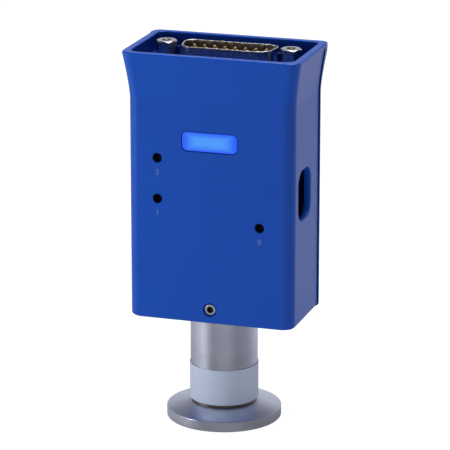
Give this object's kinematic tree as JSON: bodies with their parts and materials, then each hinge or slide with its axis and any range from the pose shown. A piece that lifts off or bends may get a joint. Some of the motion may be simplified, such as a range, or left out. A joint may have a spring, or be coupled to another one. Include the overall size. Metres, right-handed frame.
{
  "type": "pirani vacuum gauge",
  "caption": "Heated-wire vacuum gauge: small-flange steel tube clamped in a flared plastic housing with a D connector in its hood, adjusters and a light window.",
  "frame": {"origin": "centre of the flange's sealing face, which is also the mouth of the centring recess", "axes": "+Z along the tube, from the flange to the connector; -Y out of the front with the light window; +X to the right seen from the front"},
  "size_m": [0.0472, 0.03, 0.0987],
  "materials": {
    "stainless_steel": "turned satin",
    "header_alloy": "satin",
    "seal_glass": "glossy",
    "gold_plate": "bright",
    "tungsten": "drawn",
    "band_foil": "satin foil",
    "case_plastic": "fine spark-eroded texture",
    "screw_steel": "zinc plated",
    "window_plastic": "clear, lit from behind",
    "frame_plastic": "white, moulded",
    "board_laminate": "solder mask",
    "spacer_brass": "turned",
    "connector_plastic": "moulded",
    "trimmer_plastic": "moulded",
    "rotor_plastic": "moulded",
    "can_aluminium": "drawn can",
    "shell_steel": "bright plated"
  },
  "bodies": {
    "gauge": {"sensor_body": "stainless_steel", "header_disc": "header_alloy", "glass_beads": "seal_glass", "header_pins": "gold_plate", "filament_supports": "header_alloy", "filament": "tungsten", "label_band": "band_foil", "front_case": "case_plastic", "rear_cover": "case_plastic", "cover_screws": "screw_steel", "set_screw": "screw_steel", "light_window": "window_plastic", "light_frame": "frame_plastic", "status_leds": "frame_plastic", "front_board": "board_laminate", "main_board": "board_laminate", "sensor_board": "board_laminate", "standoffs": "spacer_brass", "board_screws": "screw_steel", "board_socket": "connector_plastic", "board_header": "connector_plastic", "board_contacts": "gold_plate", "link_strip": "connector_plastic", "link_pins": "gold_plate", "upper_trimmer": "trimmer_plastic", "lower_trimmer": "trimmer_plastic", "zero_trimmer": "trimmer_plastic", "supply_capacitor": "can_aluminium", "control_chip": "connector_plastic", "regulator": "connector_plastic", "connector_shell": "shell_steel", "back_shell": "shell_steel", "connector_insulator": "connector_plastic", "connector_pins": "gold_plate", "jack_posts": "shell_steel", "jack_nuts": "shell_steel"},
    "upper_rotor": {"upper_rotor": "rotor_plastic"},
    "lower_rotor": {"lower_rotor": "rotor_plastic"},
    "zero_rotor": {"zero_rotor": "rotor_plastic"}
  },
  "joints": [
    {"name": "upper_adjust", "type": "hinge", "parent": "gauge", "child": "upper_rotor", "pos_m": [-0.014, -0.009, 0.07145], "axis": [0, 1, 0], "range_deg": [-135, 135]},
    {"name": "lower_adjust", "type": "hinge", "parent": "gauge", "child": "lower_rotor", "pos_m": [-0.014, -0.009, 0.0607], "axis": [0, 1, 0], "range_deg": [-135, 135]},
    {"name": "zero_adjust", "type": "hinge", "parent": "gauge", "child": "zero_rotor", "pos_m": [0.01325, -0.009, 0.05515], "axis": [0, 1, 0], "range_deg": [-135, 135]}
  ]
}
